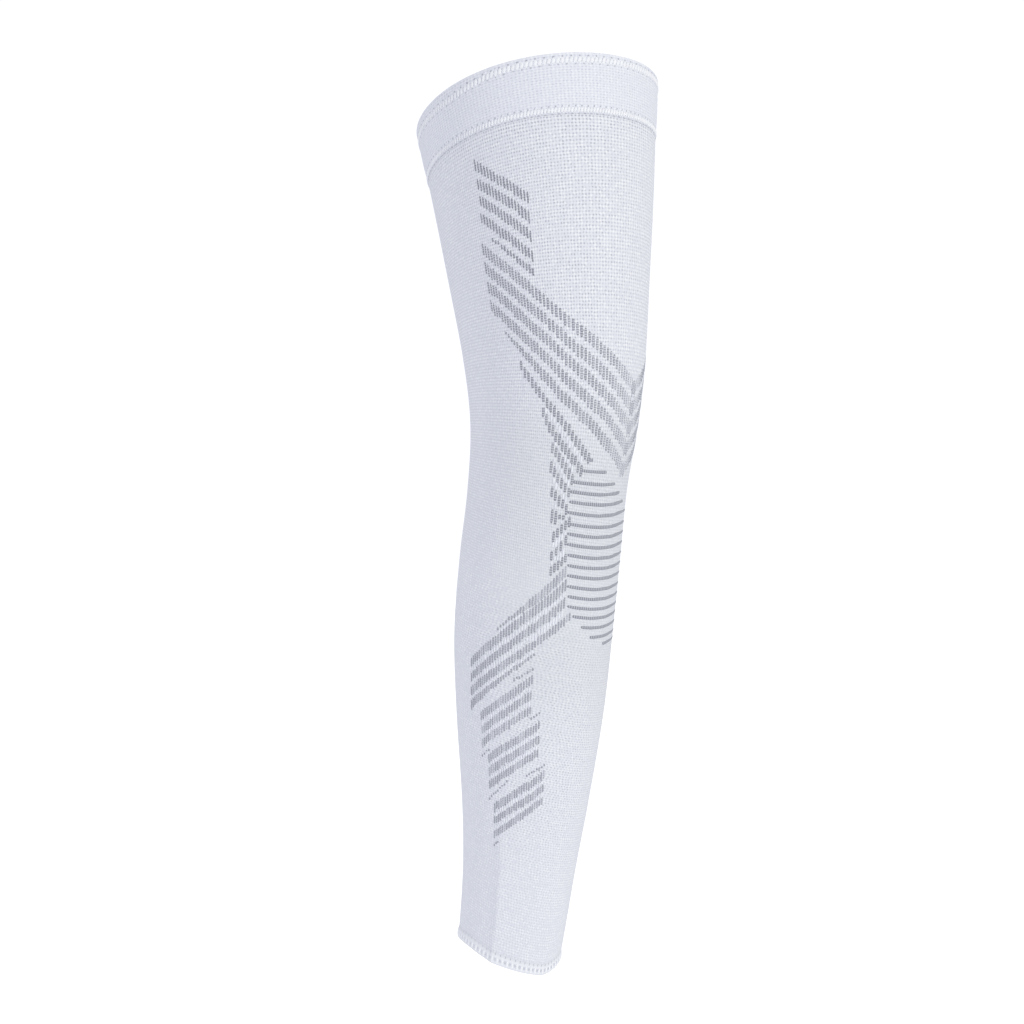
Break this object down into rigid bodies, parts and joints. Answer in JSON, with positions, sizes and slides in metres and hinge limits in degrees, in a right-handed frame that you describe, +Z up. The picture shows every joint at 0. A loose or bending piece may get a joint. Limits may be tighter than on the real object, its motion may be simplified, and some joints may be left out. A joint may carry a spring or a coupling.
{
  "type": "full-leg compression sleeve",
  "caption": "Knitted full-leg compression sleeve shaped to a slightly bent leg, open at thigh and ankle, with a lapped thigh band and a rolled ankle hem.",
  "frame": {"origin": "centre of the leg's section at the middle of the knee", "axes": "+Z up the leg towards the thigh, -Y out through the kneecap, +X across the knee"},
  "size_m": [0.186, 0.1858, 0.6827],
  "materials": {
    "knit_white": "cool white elastic weft knit with pinhole stitches and grey knitted-in stripes",
    "band_white": "finer cool white elastic knit, zigzag stitched along both edges",
    "hem_white": "cool white knit edge bound with overlock thread"
  },
  "bodies": {
    "root": {"sleeve_body": "knit_white", "top_band": "band_white", "bottom_hem": "hem_white"}
  },
  "joints": []
}
